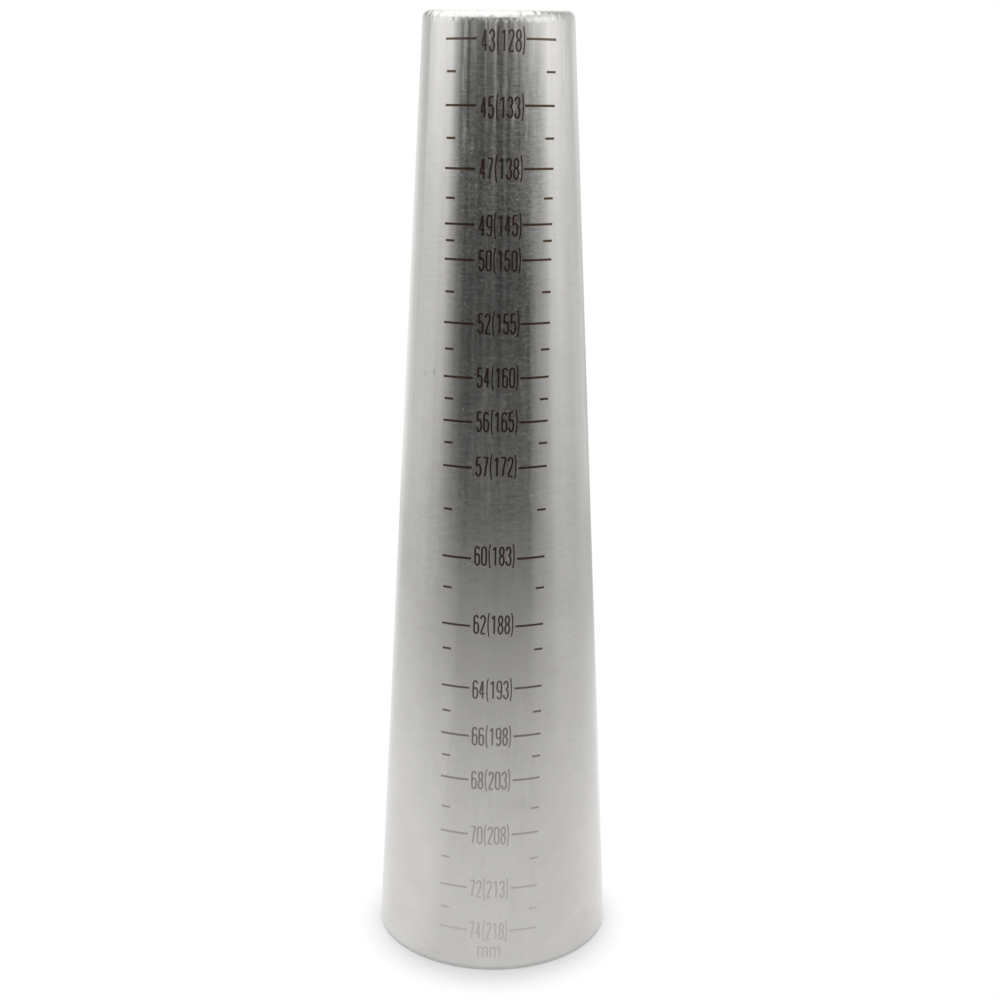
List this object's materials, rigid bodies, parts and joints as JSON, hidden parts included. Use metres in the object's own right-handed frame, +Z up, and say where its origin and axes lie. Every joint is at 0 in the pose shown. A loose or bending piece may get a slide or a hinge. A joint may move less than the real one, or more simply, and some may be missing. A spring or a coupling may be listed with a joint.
{
  "type": "bracelet mandrel",
  "caption": "Tall tapered oval steel mandrel, hollow and open at the foot, with a welded flat top and a marked size scale, for shaping and measuring bracelets.",
  "frame": {"origin": "middle of the oval foot, on the surface that the mandrel stands on", "axes": "+Z up along the mandrel, +X along the long axis of the oval, -Y towards the face that carries the scale"},
  "size_m": [0.0746, 0.0688, 0.29],
  "materials": {
    "shell_steel": "fine brushing round the body, satin",
    "plate_steel": "ground flat, satin",
    "weld_steel": "weld metal, ground flush outside",
    "scale_marks": "dark brown laser marking"
  },
  "bodies": {
    "root": {"mandrel_shell": "shell_steel", "seam_weld": "weld_steel", "top_cap": "plate_steel", "cap_weld": "weld_steel"}
  },
  "joints": []
}
